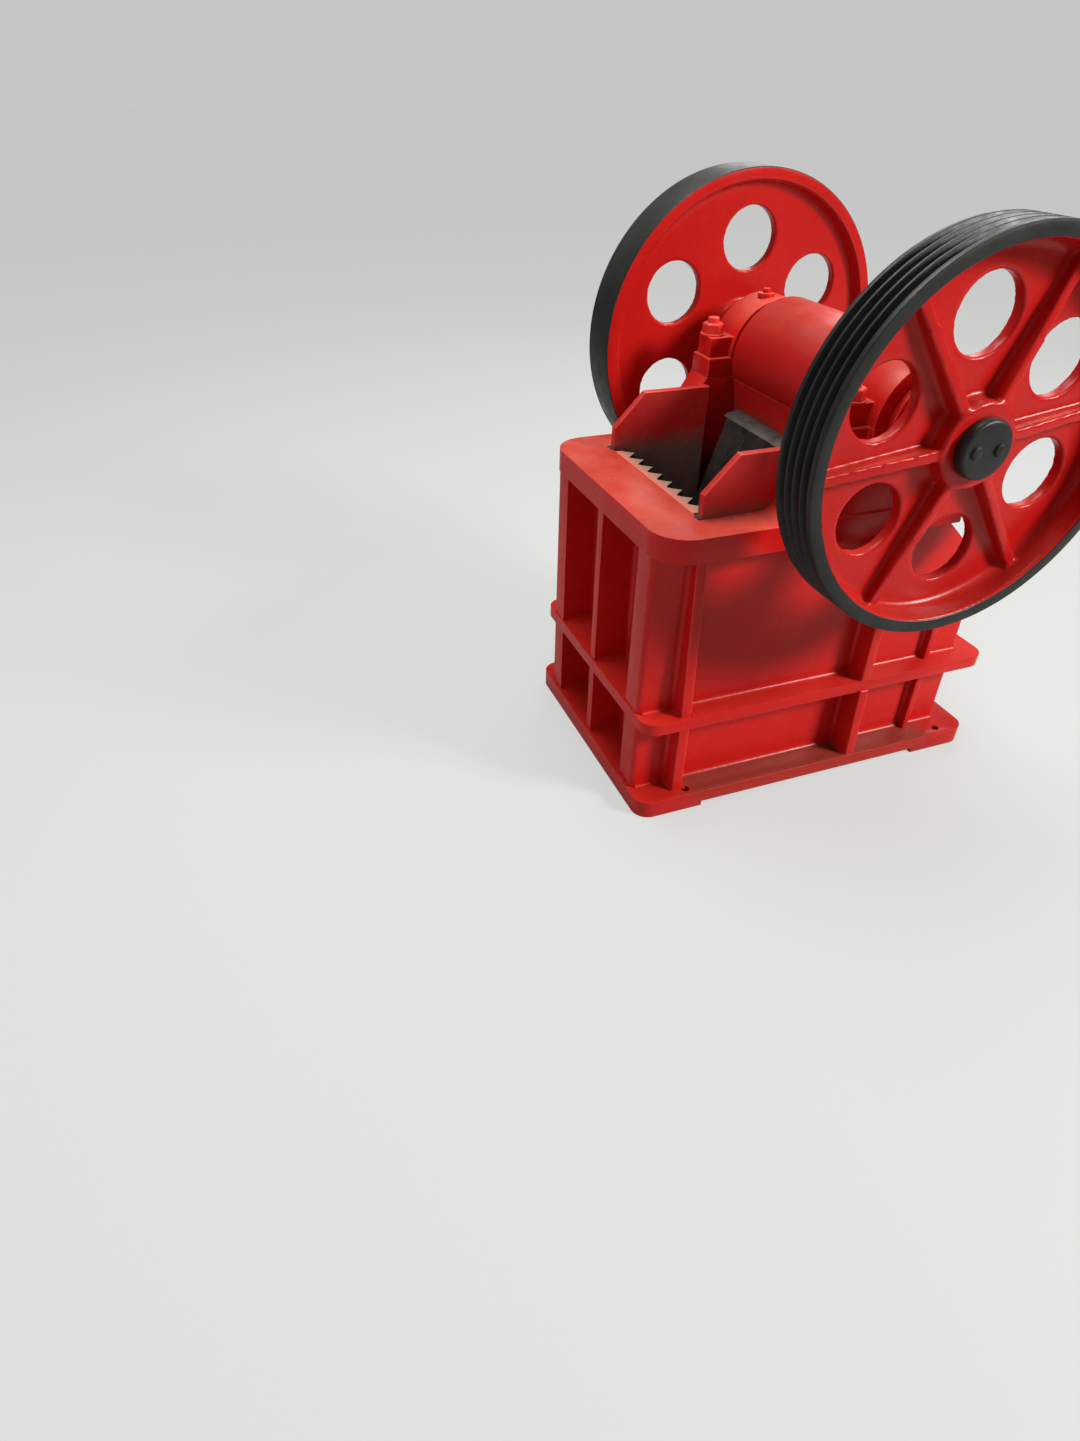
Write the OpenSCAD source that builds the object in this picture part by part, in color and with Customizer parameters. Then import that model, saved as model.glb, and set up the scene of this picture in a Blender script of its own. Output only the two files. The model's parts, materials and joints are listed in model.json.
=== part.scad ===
// Small single-toggle jaw crusher: cast frame, two wheels on an eccentric shaft,
// a fixed jaw and a swing jaw, with a toggle plate and a spring-loaded tension rod.
// +X runs along the shaft to the grooved wheel, +Y from the feed end to the rear, +Z up.
// The origin is on the underside, at the centre of the four foundation bolt holes.

/* [Frame] */
// Half width of the base flange
base_half_w = 362; // [355:1:380]
// Distance from the bolt pattern's centre to the feed end of the base
base_front = 561; // [555:1:590]
// Distance from the bolt pattern's centre to the rear end of the base
base_rear = 507; // [500:1:540]
// Height of the base flange's upper face at its ends
base_t = 50; // [40:1:60]
// How much the base flange's underside is raised between its end pads
pad_lift = 14; // [6:1:20]
// Length of the base flange's end pads
pad_len = 188; // [150:1:220]
// Radius of the corners of the base flange
base_corner_r = 45; // [20:1:60]
// Distance from the base flange's side edges to the foundation bolt holes
bolt_edge = 24; // [20:1:28]
// Spacing of the foundation bolt holes along the machine
bolt_dy = 828; // [800:1:860]
// Radius of the foundation bolt holes
bolt_hole_r = 11; // [8:0.5:12]
// Width of the base flange outside each side wall
base_ledge = 75; // [70:1:78]
// Thickness of the side walls
wall_t = 35; // [30:1:38]
// Thickness of the front wall
front_wall_t = 34; // [24:1:40]
// Thickness of the rear wall
rear_wall_t = 32; // [24:1:40]
// Distance from the bolt pattern's centre to the rear face of the rear wall
rear_wall_y = 435; // [425:1:445]
// Height of the top of the rear wall
rear_wall_top = 560; // [480:5:620]

/* [Flanges and ribs] */
// Distance that the middle and top flanges are set in from the base flange's side edges
flange_inset = 16; // [10:1:22]
// Height of the upper face of the middle flange
mid_flange_z = 290; // [280:1:320]
// Thickness of the middle flange
mid_flange_t = 32; // [24:1:40]
// Height of the upper face of the top flange
top_flange_z = 783; // [770:1:800]
// Depth of the top flange's edge
top_flange_t = 60; // [40:1:70]
// Distance from the base's feed end back to the top flange's front edge
top_flange_inset = 4; // [0:1:12]
// Radius of the corners of the top flange
top_corner_r = 90; // [60:1:100]
// Thickness of the side and front ribs
rib_t = 28; // [16:1:34]
// Distance that the bearing ribs are set in from the base flange's side edges
bearing_rib_inset = 1; // [0:1:20]
// Distance that the lower corner ribs are set in from the middle flange's side edges
corner_rib_low_inset = 10; // [4:1:24]
// Distance that the upper corner ribs are set in from the top flange's side edges, at the top
corner_rib_high_inset = 32; // [24:1:40]
// Distance that the upper corner ribs run outward towards their feet
corner_rib_taper = 22; // [0:1:22]
// Width of the corner posts across the machine
post_w = 70; // [50:1:90]
// Number of ribs on the front wall
front_rib_count = 1; // [1:1:4]

/* [Jaws] */
// Distance from the top flange's front edge back to the mouth
mouth_inset = 138; // [125:1:150]
// Gap between the fixed jaw plate's ends and the cheek plates
plate_side_gap = 16; // [8:1:26]
// Number of teeth on the fixed jaw plate
tooth_count = 8; // [6:1:8]
// Depth of the teeth
tooth_depth = 29; // [12:1:30]
// Thickness of the jaw plates behind the teeth
jaw_plate_t = 13; // [10:1:18]
// Gap between the jaw plates at the top, from tip to tip
mouth_gape = 250; // [235:1:262]
// Gap between the jaw plates at the bottom, from tip to tip
discharge_gap = 42; // [36:1:60]
// Height of the lower end of the jaw plates
jaw_bottom_z = 165; // [155:1:190]
// Distance from the top flange's upper face down to the fixed jaw plate's upper end
jaw_plate_drop = 0; // [0:1:20]
// Height of the upper end of the swing jaw's plate
swing_plate_top_z = 858; // [840:1:866]
// Thickness of the cheek plates
cheek_t = 22; // [14:1:23]
// Height of the front edge of the cheek plates above the top flange
cheek_front_h = 55; // [30:1:70]
// Height of the cheek plates above the top flange
cheek_h = 141; // [110:1:150]
// Length of the slope at the front of the cheek plates
cheek_slope_l = 82; // [60:1:110]

/* [Shaft and bearings] */
// Height of the shaft's axis
shaft_z = 988; // [980:1:1000]
// Distance of the shaft's axis behind the bolt pattern's centre
shaft_y = 53; // [48:1:60]
// Radius of the shaft in the main bearings
journal_r = 60; // [57:1:62]
// Radius of the shaft inside the swing jaw
eccentric_r = 74; // [73:1:78]
// Throw of the eccentric
eccentric_throw = 10; // [6:0.5:10.5]
// Radius of the shaft ends that carry the wheels
wheel_seat_r = 55; // [48:1:55]
// Outer radius of the bearing housings
housing_r = 136; // [125:1:142]
// Distance that the bearing housings stand out past the top flange's side edges
housing_out = 10; // [6:1:16]
// Distance of the bearing cap bolts from the shaft's axis
cap_bolt_dy = 170; // [164:1:178]
// Distance that the bearing pedestals' front slope runs forward
pedestal_slope_l = 100; // [40:1:120]
// Radius of the bearing end covers
bearing_cover_r = 104; // [90:1:115]

/* [Wheels] */
// Outer radius of both wheels
wheel_r = 420; // [400:1:425]
// Width of the rims along the shaft
rim_w = 125; // [110:1:130]
// Radial thickness of the rims
rim_t = 30; // [25:1:36]
// Gap between each bearing housing and the rim beside it
wheel_gap = 66; // [59:1:75]
// Depth of the web behind the rim's outer face
web_recess = 70; // [56:1:76]
// Thickness of the web
web_t = 28; // [20:1:34]
// Number of round holes in each web
web_hole_count = 6; // [4:1:6]
// Radius of the circle that the web's holes lie on
web_hole_circle_r = 250; // [240:1:256]
// Radius of the web's holes
web_hole_r = 79; // [60:1:86]
// Thickness of the ribs on the web
web_rib_t = 26; // [16:1:32]
// Radius of the wheel's boss
boss_r = 92; // [84:1:100]
// Depth of the wheel's boss behind the rim's outer face
boss_inset = 27; // [20:1:45]
// Radius of the caps on the shaft's ends
shaft_cap_r = 64; // [58:1:76]
// Number of belt grooves in the grooved wheel
groove_count = 4; // [3:1:4]
// Pitch of the belt grooves
groove_pitch = 26; // [23:0.5:28]
// Depth of the belt grooves
groove_depth = 13; // [8:1:16]
// Width of a belt groove at the rim's surface
groove_w = 20; // [16:0.5:22]

/* [Toggle and tension rod] */
// Thickness of the toggle plate
toggle_t = 32; // [24:1:40]
// Width of the toggle plate across the machine
toggle_w = 360; // [300:5:400]
// Radius of the tension rod
rod_r = 14; // [10:1:16]
// Height of the tension rod
rod_z = 104; // [98:1:110]
// Length of the tension rod behind its nuts
rod_out = 30; // [15:1:45]
// Outer radius of the tension spring
spring_r = 44; // [36:1:46]
// Radius of the tension spring's wire
spring_wire_r = 7; // [5:0.5:9]
// Number of turns in the tension spring
spring_turns = 9; // [6:1:10]
// Distance between the turns of the tension spring
spring_pitch = 23.5; // [19:0.5:26]

/* [Hidden] */
bolt_dx = 2 * (base_half_w - bolt_edge);
wall_out_x = base_half_w - base_ledge;
flange_half_w = base_half_w - flange_inset;
housing_out_x = flange_half_w + housing_out;
wheel_out_x = housing_out_x + wheel_gap + rim_w;
wall_in_x = wall_out_x - wall_t;
cheek_in_x = wall_in_x - cheek_t;
plate_half_w = cheek_in_x - plate_side_gap;
tooth_pitch = 2 * plate_half_w / tooth_count;
seat_gap = 0.2;
run_gap = 8;

front_face_y = -base_front + 8;
post_in_x = wall_out_x - post_w;
post_edge_r = 14;

top_front_y = -base_front + top_flange_inset;
top_under_z = top_flange_z - top_flange_t;
mid_under_z = mid_flange_z - mid_flange_t;

pedestal_half_l = cap_bolt_dy + 30;
pedestal_front_y = shaft_y - pedestal_half_l;
pedestal_rear_y = shaft_y + pedestal_half_l;
pedestal_out_x = flange_half_w - 6;
ear_t = 48;
pedestal_top_z = shaft_z - ear_t;
bearing_rib_y = shaft_y + 29;
bearing_rib_x = base_half_w - bearing_rib_inset;
rear_rib_gap = 100;
rear_rib_t = 18;
rear_rib_y = rear_wall_y - rear_rib_gap - rear_rib_t;
rear_rib_out = 23;

jaw_back_y = top_front_y + mouth_inset;
fixed_root_y = jaw_back_y + jaw_plate_t;
fixed_tip_y = fixed_root_y + tooth_depth;
mouth_front_y = jaw_back_y - 2;
front_wall_y = jaw_back_y - front_wall_t;

swing_tip_top_y = fixed_tip_y + mouth_gape;
swing_tip_bottom_y = fixed_tip_y + discharge_gap;
swing_run = swing_tip_top_y - swing_tip_bottom_y;
swing_rise = swing_plate_top_z - jaw_bottom_z;
swing_lean = atan(swing_run / swing_rise);
swing_len = swing_rise / cos(swing_lean);
swing_plate_depth = jaw_plate_t + tooth_depth;
pitman_seat_d = 215;
wedge_rise = 26;
neck_rise = 92;
crown_rise = 176;
back_rise = 130;
seat_low = 160;
pitman_foot_d = pitman_seat_d - 95;
clevis_out = 16;
clevis_drop = 25;
cheek_foot = 120;

barrel_r = 148;
barrel_half_l = cheek_in_x - run_gap;
pitman_half_w = barrel_half_l - 14;
bore_r = eccentric_r + eccentric_throw + 6;
cover_t = 20;
boss_out_x = wheel_out_x - boss_inset;
boss_in_x = wheel_out_x - rim_w - 16;
cap_out = 3;

toggle_block_d = 64;
toggle_rear_y = rear_wall_y - rear_wall_t - toggle_block_d;
toggle_z = mid_under_z;
seat_z = toggle_z + toggle_t / 2;
seat_y = swing_tip_bottom_y + (swing_plate_depth + pitman_seat_d) / cos(swing_lean)
    + (seat_z - jaw_bottom_z) * tan(swing_lean);
toggle_front_y = seat_y + 12;
rod_reach = 90;
rod_front_y = seat_y - rod_reach;
block_below = 40;
block_above = 30;
cup_t = 12;
nut_len = 48;
spring_y = rear_wall_y + cup_t;
washer_y = spring_y + spring_turns * spring_pitch;
nuts_y = washer_y + 14;
rod_end_y = nuts_y + nut_len + rod_out;

// A cylinder along X, from x0 to x1, on the shaft's axis
module shaft_cyl(r, x0, x1, dy = 0)
    translate([x0, shaft_y + dy, shaft_z]) rotate([0, 90, 0])
        cylinder(r = r, h = x1 - x0, $fn = 96);

// A plate across X, from x0 to x1, with its outline in the Y-Z plane
module side_plate(x0, x1, outline)
    translate([x0, 0, 0]) rotate([90, 0, 90]) linear_extrude(x1 - x0) polygon(outline);

// A box from its lowest to its highest corner
module block(low, high) translate(low) cube(high - low);

// The same piece on the left side
module on_left() mirror([1, 0, 0]) children();

// A rectangle with true round corners
module round_rect(x0, x1, y0, y1, r) {
    translate([x0 + r, y0]) square([x1 - x0 - 2 * r, y1 - y0]);
    translate([x0, y0 + r]) square([x1 - x0, y1 - y0 - 2 * r]);
    for (x = [x0 + r, x1 - r], y = [y0 + r, y1 - r]) translate([x, y]) circle(r = r, $fn = 64);
}

// Base flange: a ring with thick end pads, round corners and four bolt holes
module base_flange() {
    color("firebrick") difference() {
        linear_extrude(base_t)
            round_rect(-base_half_w, base_half_w, -base_front, base_rear, base_corner_r);
        block([-wall_in_x, jaw_back_y, -1],
              [wall_in_x, rear_wall_y - rear_wall_t, base_t + 1]);
        block([-base_half_w - 1, -base_front + pad_len, -1],
              [base_half_w + 1, base_rear - pad_len, pad_lift]);
        for (x = [-bolt_dx / 2, bolt_dx / 2], y = [-bolt_dy / 2, bolt_dy / 2])
            translate([x, y, -1]) cylinder(r = bolt_hole_r, h = base_t + 2, $fn = 48);
    }
}

// Side wall: one plate from the base up to the top flange, sloping down behind the bearing
module side_wall() {
    color("firebrick") side_plate(wall_in_x, wall_out_x, [
        [front_wall_y, base_t], [rear_wall_y, base_t], [rear_wall_y, rear_wall_top],
        [pedestal_rear_y, top_under_z], [front_wall_y, top_under_z]
    ]);
}

// Front wall, set back between the corner posts
module front_wall() {
    color("firebrick") block([-wall_in_x, front_wall_y, base_t], [wall_in_x, jaw_back_y, top_under_z]);
}

// Rear wall with the hole for the tension rod
module rear_wall() {
    color("firebrick") difference() {
        block([-wall_in_x, rear_wall_y - rear_wall_t, base_t], [wall_in_x, rear_wall_y, rear_wall_top]);
        translate([0, rear_wall_y + 1, rod_z]) rotate([90, 0, 0])
            cylinder(r = rod_r + 3, h = rear_wall_t + 2, $fn = 48);
    }
}

// Corner post in front of the side wall, one length in each storey, with a round outer edge
module corner_post() {
    color("firebrick") for (z = [[base_t, mid_under_z], [mid_flange_z, top_under_z]])
        translate([0, 0, z[0]]) linear_extrude(z[1] - z[0]) {
            translate([post_in_x, front_face_y])
                square([post_w - post_edge_r, front_wall_y - front_face_y]);
            translate([post_in_x, front_face_y + post_edge_r])
                square([post_w, front_wall_y - front_face_y - post_edge_r]);
            translate([wall_out_x - post_edge_r, front_face_y + post_edge_r])
                circle(r = post_edge_r, $fn = 48);
        }
}

// Ribs on the front wall, from the base to the middle flange and on to the top flange
module front_ribs() {
    pitch = 2 * post_in_x / (front_rib_count + 1);
    levels = [[base_t, mid_under_z], [mid_flange_z, top_under_z]];
    color("firebrick") for (i = [1:front_rib_count], z = levels)
        translate([-post_in_x + i * pitch - rib_t / 2, front_face_y, z[0]])
            cube([rib_t, front_wall_y - front_face_y, z[1] - z[0]]);
}

// Ribs on a side wall: one at the corner, wider at its foot, a deep one under the bearing and
// a shallow one behind it
module side_ribs() {
    low_x = flange_half_w - corner_rib_low_inset;
    high_x = flange_half_w - corner_rib_high_inset;
    corner_y = front_wall_y + rib_t;
    bearing_y = bearing_rib_y + rib_t;
    color("firebrick") {
        block([wall_out_x, front_wall_y, base_t], [low_x, corner_y, mid_under_z]);
        translate([0, corner_y, 0]) rotate([90, 0, 0]) linear_extrude(rib_t) polygon([
            [wall_out_x, mid_flange_z], [high_x + corner_rib_taper, mid_flange_z],
            [high_x, top_under_z], [wall_out_x, top_under_z]
        ]);
        block([wall_out_x, bearing_rib_y, base_t], [bearing_rib_x, bearing_y, mid_under_z]);
        block([wall_out_x, bearing_rib_y, mid_flange_z], [flange_half_w, bearing_y, top_under_z]);
        for (z = [[base_t, mid_under_z], [mid_flange_z, rear_wall_top - 20]])
            block([wall_out_x, rear_rib_y, z[0]],
                  [wall_out_x + rear_rib_out, rear_rib_y + rear_rib_t, z[1]]);
    }
}

// Middle flange: a band around the walls, and a shelf in front of the front wall
module mid_flange() {
    color("firebrick") translate([0, 0, mid_under_z]) linear_extrude(mid_flange_t) difference() {
        round_rect(-flange_half_w, flange_half_w, top_front_y, base_rear - 3, base_corner_r);
        translate([-wall_out_x, front_wall_y]) square([2 * wall_out_x, rear_wall_y - front_wall_y]);
    }
}

// Top flange: a deep plate around the mouth, with arms back under the bearings
module top_flange() {
    color("tomato") translate([0, 0, top_under_z]) linear_extrude(top_flange_t) difference() {
        union() {
            round_rect(-flange_half_w, flange_half_w, top_front_y, pedestal_front_y, top_corner_r);
            translate([-flange_half_w, top_front_y + top_corner_r])
                square([2 * flange_half_w, pedestal_rear_y - top_front_y - top_corner_r]);
        }
        translate([-wall_in_x, mouth_front_y]) square([2 * wall_in_x, 2 * base_rear]);
    }
}

// Bearing pedestal on the top flange, sloping up to a round seat for the housing
module bearing_pedestal() {
    color("firebrick") difference() {
        side_plate(wall_in_x, pedestal_out_x, [
            [pedestal_front_y - pedestal_slope_l, top_flange_z], [pedestal_rear_y, top_flange_z],
            [pedestal_rear_y, pedestal_top_z], [pedestal_front_y, pedestal_top_z]
        ]);
        shaft_cyl(housing_r, wall_in_x - 1, housing_out_x);
    }
}

// Lower half of the bearing housing: half a ring with its ears
module bearing_housing() {
    color("firebrick") difference() {
        union() {
            shaft_cyl(housing_r, wall_in_x, housing_out_x);
            block([wall_in_x, pedestal_front_y, pedestal_top_z],
                  [pedestal_out_x, pedestal_rear_y, shaft_z]);
        }
        block([wall_in_x - 1, pedestal_front_y - 1, shaft_z],
              [housing_out_x + 1, pedestal_rear_y + 1, shaft_z + housing_r + 1]);
        shaft_cyl(journal_r + seat_gap, wall_in_x - 1, housing_out_x + 1);
    }
}

// Upper half of the bearing housing, with ears for its two bolts
module bearing_cap() {
    color("firebrick") difference() {
        union() {
            shaft_cyl(housing_r, wall_in_x, housing_out_x);
            block([wall_in_x + 12, pedestal_front_y + 6, shaft_z],
                  [pedestal_out_x - 12, pedestal_rear_y - 6, shaft_z + ear_t]);
        }
        block([wall_in_x - 1, pedestal_front_y, shaft_z - housing_r - 1],
              [housing_out_x + 1, pedestal_rear_y, shaft_z]);
        shaft_cyl(journal_r + seat_gap, wall_in_x - 1, housing_out_x + 1);
    }
}

// End cover of a main bearing
module bearing_cover() {
    color("firebrick") difference() {
        shaft_cyl(bearing_cover_r, housing_out_x, housing_out_x + cover_t);
        shaft_cyl(journal_r + seat_gap, housing_out_x - 1, housing_out_x + cover_t + 1);
    }
}

// Cheek plate: lines the chamber's side and stands up beside the mouth as a guard
module cheek_plate() {
    foot_z = jaw_bottom_z + cheek_foot;
    color("red") side_plate(cheek_in_x, wall_in_x, [
        [jaw_back_y, foot_z], [pedestal_front_y, foot_z], [pedestal_front_y, top_flange_z + cheek_h],
        [jaw_back_y + cheek_slope_l, top_flange_z + cheek_h],
        [jaw_back_y, top_flange_z + cheek_front_h]
    ]);
}

// Outline of a jaw plate in plan, from its back at y = 0 to the tips of its teeth
function jaw_outline(count) = concat(
    [[-count * tooth_pitch / 2, 0], [-count * tooth_pitch / 2, jaw_plate_t]],
    [for (i = [0:count - 1], k = [1, 2])
        [(i + k / 2 - count / 2) * tooth_pitch, jaw_plate_t + (k == 1 ? tooth_depth : 0)]],
    [[count * tooth_pitch / 2, 0]]
);

// Fixed jaw plate, upright against the front wall
module fixed_jaw_plate() {
    color("gray") translate([0, jaw_back_y, jaw_bottom_z])
        linear_extrude(top_flange_z - jaw_plate_drop - jaw_bottom_z)
            polygon(jaw_outline(tooth_count));
}

// Places a piece on the swing jaw's leaning face, with +Z up the face and +Y out of its back
module on_swing_face()
    translate([0, swing_tip_bottom_y, jaw_bottom_z]) rotate([-swing_lean, 0, 0])
        translate([0, swing_plate_depth, 0]) children();

// Swing jaw plate, its teeth facing the gaps between the fixed teeth
module swing_jaw_plate() {
    color("gray") on_swing_face()
        rotate([0, 0, 180]) linear_extrude(swing_len) polygon(jaw_outline(tooth_count - 1));
}

// Swing jaw: a barrel on the shaft and a leaning body down to the toggle seat
module pitman() {
    body = [
        [0, 0], [0, swing_len + wedge_rise], [-30, swing_len + neck_rise],
        [90, swing_len + crown_rise], [226, swing_len + back_rise], [150, 560], [128, 420],
        [pitman_seat_d, 300], [pitman_seat_d, seat_low], [pitman_foot_d, 0]
    ];
    color("firebrick") difference() {
        union() {
            shaft_cyl(barrel_r, -barrel_half_l, barrel_half_l);
            on_swing_face() side_plate(-pitman_half_w, pitman_half_w, body);
        }
        shaft_cyl(bore_r, -barrel_half_l - 1, barrel_half_l + 1);
    }
}

// Clevis on the swing jaw's foot: one plate on each side of the tension rod
module rod_clevis() {
    foot = [pitman_foot_d, 0];
    seat = [pitman_seat_d, seat_low];
    inner_x = rod_r + 6;
    outer_d = pitman_seat_d - 5;
    color("firebrick") for (x = [-inner_x - clevis_out, inner_x]) on_swing_face()
        side_plate(x, x + clevis_out, [
            foot, foot + 0.62 * (seat - foot), [outer_d, clevis_out],
            [outer_d - clevis_out, -clevis_drop], [pitman_foot_d + clevis_drop, -clevis_drop]
        ]);
}

// Cover that closes the swing jaw's bore around the shaft
module pitman_cover() {
    color("firebrick") difference() {
        shaft_cyl(bore_r + 26, barrel_half_l, barrel_half_l + 14);
        shaft_cyl(journal_r + seat_gap, barrel_half_l - 1, barrel_half_l + 15);
    }
}

// Wedge bar that holds the swing jaw's plate at its upper end
module jaw_wedge() {
    half_w = plate_half_w - tooth_pitch / 2;
    color("dimgray") on_swing_face() side_plate(-half_w, half_w, [
        [-swing_plate_depth + 6, swing_len], [0, swing_len], [0, swing_len + wedge_rise],
        [-swing_plate_depth + 14, swing_len + 10]
    ]);
}

// Block behind the toggle plate, bolted to the rear wall
module toggle_block() {
    half_w = toggle_w / 2 + 15;
    color("firebrick")
        block([-half_w, toggle_rear_y, toggle_z - block_below],
              [half_w, rear_wall_y - rear_wall_t, toggle_z + toggle_t + block_above]);
}

// Toggle plate between the swing jaw and the toggle block
module toggle_plate() {
    color("dimgray") block([-toggle_w / 2, toggle_front_y, toggle_z],
                           [toggle_w / 2, toggle_rear_y, toggle_z + toggle_t]);
}

// A cylinder along Y on the tension rod's axis
module rod_cyl(r, y0, y1)
    translate([0, y1, rod_z]) rotate([90, 0, 0]) cylinder(r = r, h = y1 - y0, $fn = 48);

module tension_rod() {
    color("dimgray") rod_cyl(rod_r, rod_front_y, rod_end_y);
}

module rod_nuts() {
    color("dimgray") difference() {
        rod_cyl(24, nuts_y, rod_end_y - rod_out);
        rod_cyl(rod_r, nuts_y - 1, rod_end_y);
    }
}

module tension_spring() {
    color("dimgray") difference() {
        rod_cyl(spring_r, spring_y, washer_y);
        rod_cyl(spring_r - 2 * spring_wire_r, spring_y - 1, washer_y + 1);
    }
}

module spring_washer() {
    color("dimgray") difference() {
        rod_cyl(spring_r + 6, washer_y, nuts_y);
        rod_cyl(rod_r, washer_y - 1, nuts_y + 1);
    }
}

module spring_cup() {
    color("firebrick") difference() {
        rod_cyl(spring_r + 6, rear_wall_y, spring_y);
        rod_cyl(rod_r + 3, rear_wall_y - 1, spring_y + 1);
    }
}

// Eccentric shaft: wheel seats, journals and the eccentric inside the swing jaw
module eccentric_shaft() {
    color("dimgray") union() {
        shaft_cyl(wheel_seat_r, -boss_out_x, boss_out_x);
        shaft_cyl(journal_r, -housing_out_x - cover_t, housing_out_x + cover_t);
        shaft_cyl(eccentric_r, -barrel_half_l + 16, barrel_half_l - 16, eccentric_throw);
    }
}

// Wheel rim, with its outer face at wheel_out_x; grooves > 0 cuts belt grooves
module wheel_rim(grooves) {
    in_x = wheel_out_x - rim_w;
    first = wheel_out_x - rim_w / 2 - (grooves - 1) * groove_pitch / 2;
    color("black") translate([0, shaft_y, shaft_z]) rotate([0, 90, 0]) rotate_extrude($fn = 128)
        difference() {
            translate([wheel_r - rim_t, in_x]) square([rim_t, rim_w]);
            if (grooves > 0) for (i = [0:grooves - 1]) translate([wheel_r, first + i * groove_pitch])
                polygon([
                    [1, -groove_w / 2], [1, groove_w / 2],
                    [-groove_depth, groove_w / 4], [-groove_depth, -groove_w / 4]
                ]);
        }
}

// Wheel web: a disc with round holes, radial ribs on its outer face and a boss
module wheel_web(first_angle) {
    face_x = wheel_out_x - web_recess;
    step = 360 / web_hole_count;
    color("red") difference() {
        union() {
            shaft_cyl(wheel_r - rim_t, face_x - web_t, face_x);
            shaft_cyl(boss_r, boss_in_x, boss_out_x);
            for (k = [0:web_hole_count - 1]) translate([face_x, shaft_y, shaft_z])
                rotate([first_angle + (k + 0.5) * step, 0, 0]) translate([0, 0, -web_rib_t / 2])
                    linear_extrude(web_rib_t) polygon([
                        [-1, boss_r - 10], [boss_out_x - face_x - 4, boss_r - 10],
                        [web_rib_t - 4, wheel_r - rim_t - 2], [-1, wheel_r - rim_t - 2]
                    ]);
        }
        for (k = [0:web_hole_count - 1])
            translate([face_x - web_t - 1, shaft_y, shaft_z]) rotate([first_angle + k * step, 0, 0])
                translate([0, web_hole_circle_r, 0]) rotate([0, 90, 0])
                    cylinder(r = web_hole_r, h = 2 * web_t + boss_out_x - face_x, $fn = 72);
        shaft_cyl(wheel_seat_r, boss_in_x - 1, boss_out_x + 1);
    }
}

// Cap on the shaft's end
module shaft_cap() {
    color("black") shaft_cyl(shaft_cap_r, boss_out_x, wheel_out_x + cap_out);
}

base_flange();
side_wall();  // side_wall_right
on_left() side_wall();  // side_wall_left
front_wall();
rear_wall();
corner_post();  // corner_post_right
on_left() corner_post();  // corner_post_left
front_ribs();
side_ribs();  // side_ribs_right
on_left() side_ribs();  // side_ribs_left
mid_flange();
top_flange();
bearing_pedestal();  // bearing_pedestal_right
on_left() bearing_pedestal();  // bearing_pedestal_left
bearing_housing();  // bearing_housing_right
on_left() bearing_housing();  // bearing_housing_left
bearing_cap();  // bearing_cap_right
on_left() bearing_cap();  // bearing_cap_left
bearing_cover();  // bearing_cover_right
on_left() bearing_cover();  // bearing_cover_left
cheek_plate();  // cheek_plate_right
on_left() cheek_plate();  // cheek_plate_left
fixed_jaw_plate();
toggle_block();
toggle_plate();
tension_rod();
rod_nuts();
tension_spring();
spring_washer();
spring_cup();
pitman();
rod_clevis();
pitman_cover();  // pitman_cover_right
on_left() pitman_cover();  // pitman_cover_left
swing_jaw_plate();
jaw_wedge();
eccentric_shaft();
on_left() wheel_rim(0);  // flywheel_rim
on_left() wheel_web(30);  // flywheel_web
wheel_rim(groove_count);  // belt_wheel_rim
wheel_web(36.8);  // belt_wheel_web
shaft_cap();  // shaft_cap_right
on_left() shaft_cap();  // shaft_cap_left
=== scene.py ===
"""Looks of the jaw crusher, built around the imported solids."""
import json
import math

import bmesh
import bpy
from mathutils import Matrix, Vector

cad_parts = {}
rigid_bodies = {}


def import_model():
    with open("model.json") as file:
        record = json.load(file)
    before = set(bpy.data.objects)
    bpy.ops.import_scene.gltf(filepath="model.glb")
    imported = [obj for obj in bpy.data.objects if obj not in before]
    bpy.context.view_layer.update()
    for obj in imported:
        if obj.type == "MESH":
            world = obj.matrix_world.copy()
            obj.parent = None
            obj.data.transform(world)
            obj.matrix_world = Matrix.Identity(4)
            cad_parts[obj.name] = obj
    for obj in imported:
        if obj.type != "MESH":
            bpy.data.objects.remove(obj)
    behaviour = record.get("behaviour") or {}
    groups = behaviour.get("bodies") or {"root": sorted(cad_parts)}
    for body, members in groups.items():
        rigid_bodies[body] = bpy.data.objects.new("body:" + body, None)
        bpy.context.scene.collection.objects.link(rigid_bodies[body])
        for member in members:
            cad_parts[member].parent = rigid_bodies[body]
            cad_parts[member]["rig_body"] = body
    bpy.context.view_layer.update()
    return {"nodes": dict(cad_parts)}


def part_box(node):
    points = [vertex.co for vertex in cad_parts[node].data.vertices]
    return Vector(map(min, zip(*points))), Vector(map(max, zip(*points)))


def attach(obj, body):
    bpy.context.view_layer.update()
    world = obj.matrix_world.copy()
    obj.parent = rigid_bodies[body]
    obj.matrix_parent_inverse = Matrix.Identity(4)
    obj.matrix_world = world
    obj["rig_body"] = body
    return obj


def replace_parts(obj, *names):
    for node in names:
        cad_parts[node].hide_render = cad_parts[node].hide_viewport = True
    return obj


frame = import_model()
NODES = frame["nodes"]
scene = bpy.context.scene

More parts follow.
